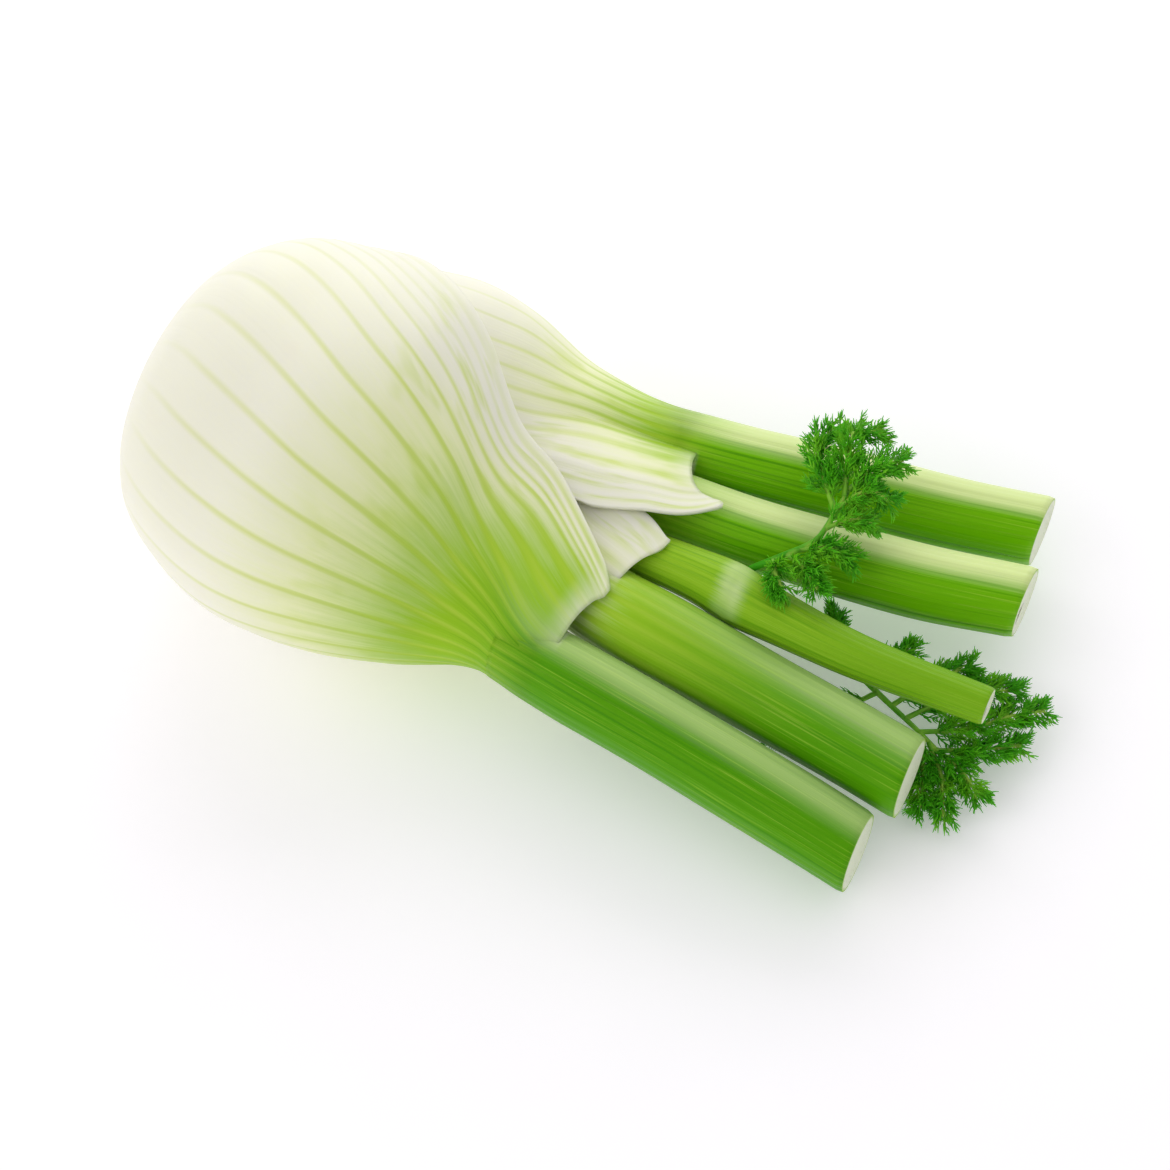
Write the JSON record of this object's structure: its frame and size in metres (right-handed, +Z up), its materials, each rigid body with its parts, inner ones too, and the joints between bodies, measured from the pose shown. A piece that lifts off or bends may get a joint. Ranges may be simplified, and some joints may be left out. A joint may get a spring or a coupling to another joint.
{
  "type": "fennel bulb",
  "caption": "Trimmed fennel bulb lying on its flat side, with ribbed white sheaths, cut green stalks and feathery fronds.",
  "frame": {"origin": "middle of the flat spot that the bulb rests on", "axes": "+X from the root end towards the cut stalks, +Y towards the far side of the bulb, +Z up"},
  "size_m": [0.2207, 0.1172, 0.07],
  "materials": {
    "outer_leaf": "satin, white turning to green along the stalk",
    "inner_leaf": "satin, pale green turning to green along the stalk",
    "root_cut": "dry cut surface",
    "frond": "matte, deep green"
  },
  "bodies": {
    "root": {"leaf_near_outer": "outer_leaf", "leaf_far_outer": "outer_leaf", "leaf_near_inner": "inner_leaf", "leaf_far_inner": "inner_leaf", "leaf_heart": "inner_leaf", "root_plate": "root_cut", "frond_upper": "frond", "frond_lower": "frond"}
  },
  "joints": []
}
